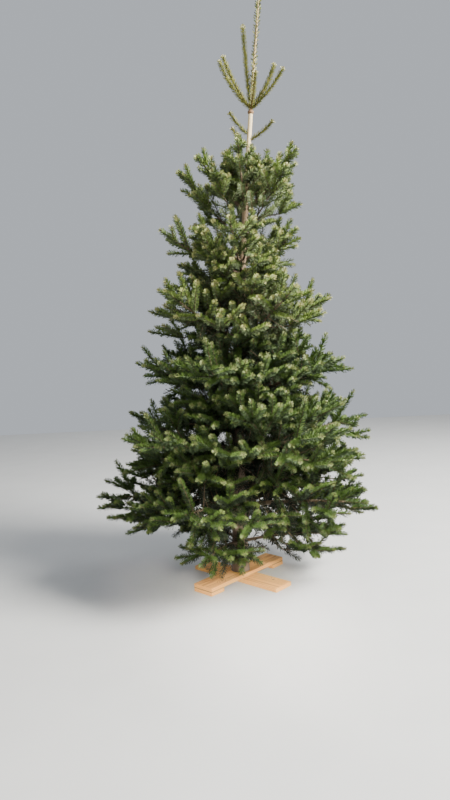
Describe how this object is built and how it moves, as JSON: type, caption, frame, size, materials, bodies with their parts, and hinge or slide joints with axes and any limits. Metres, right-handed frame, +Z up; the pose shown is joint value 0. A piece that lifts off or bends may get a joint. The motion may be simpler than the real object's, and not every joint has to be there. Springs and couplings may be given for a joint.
{
  "type": "cut christmas tree on a crossed-board stand",
  "caption": "Undecorated cut fir tree with a slim leaning trunk, whorled boughs and dense needle sprays, on a low stand of crossed boards.",
  "frame": {"origin": "on the ground, in the middle of the underside of the stand's lower board, under the crossing of the boards", "axes": "+Z up along the height of the tree, +X to the right as seen from the front, +Y away from the viewer"},
  "size_m": [1.8002, 1.712, 3.7254],
  "materials": {
    "bark": "dull fir bark, grey-brown below and pale tan near the top",
    "foliage": "dense semi-gloss fir needles, dark inside and yellow-green at the tips",
    "top_foliage": "short olive needles on tan shoots",
    "stand_wood": "fresh sawn softwood with visible grain"
  },
  "bodies": {
    "root": {"trunk": "bark", "bough_5_1": "bark", "bough_5_2": "bark", "bough_5_3": "bark", "bough_5_4": "bark", "bough_5_5": "bark", "bough_6_1": "bark", "bough_6_2": "bark", "bough_6_3": "bark", "bough_6_4": "bark", "bough_6_5": "bark", "bough_7_1": "bark", "bough_7_2": "bark", "bough_7_3": "bark", "bough_7_4": "bark", "bough_7_5": "bark", "bough_8_1": "bark", "bough_8_2": "bark", "bough_8_3": "bark", "foliage_2_1": "foliage", "foliage_2_2": "foliage", "foliage_2_3": "foliage", "foliage_2_4": "foliage", "foliage_2_5": "foliage", "foliage_3_1": "foliage", "foliage_3_2": "foliage", "foliage_3_3": "foliage", "foliage_3_4": "foliage", "foliage_3_5": "foliage", "foliage_4_1": "foliage", "foliage_4_2": "foliage", "foliage_4_3": "foliage", "foliage_4_4": "foliage", "foliage_4_5": "foliage", "foliage_5_1": "foliage", "foliage_5_2": "foliage", "foliage_5_3": "foliage", "foliage_5_4": "foliage", "foliage_5_5": "foliage", "foliage_6_1": "foliage", "foliage_6_2": "foliage", "foliage_6_3": "foliage", "foliage_6_4": "foliage", "foliage_6_5": "foliage", "foliage_7_1": "foliage", "foliage_7_2": "foliage", "foliage_7_3": "foliage", "foliage_7_4": "foliage", "foliage_7_5": "foliage", "foliage_8_1": "foliage", "foliage_8_2": "foliage", "foliage_8_3": "foliage", "foliage_top": "top_foliage", "side_shoot_left": "top_foliage", "side_shoot_right": "top_foliage", "side_shoot_low": "top_foliage", "stand_lower_board": "stand_wood", "stand_upper_board": "stand_wood", "stand_block_near": "stand_wood", "stand_block_far": "stand_wood"}
  },
  "joints": []
}
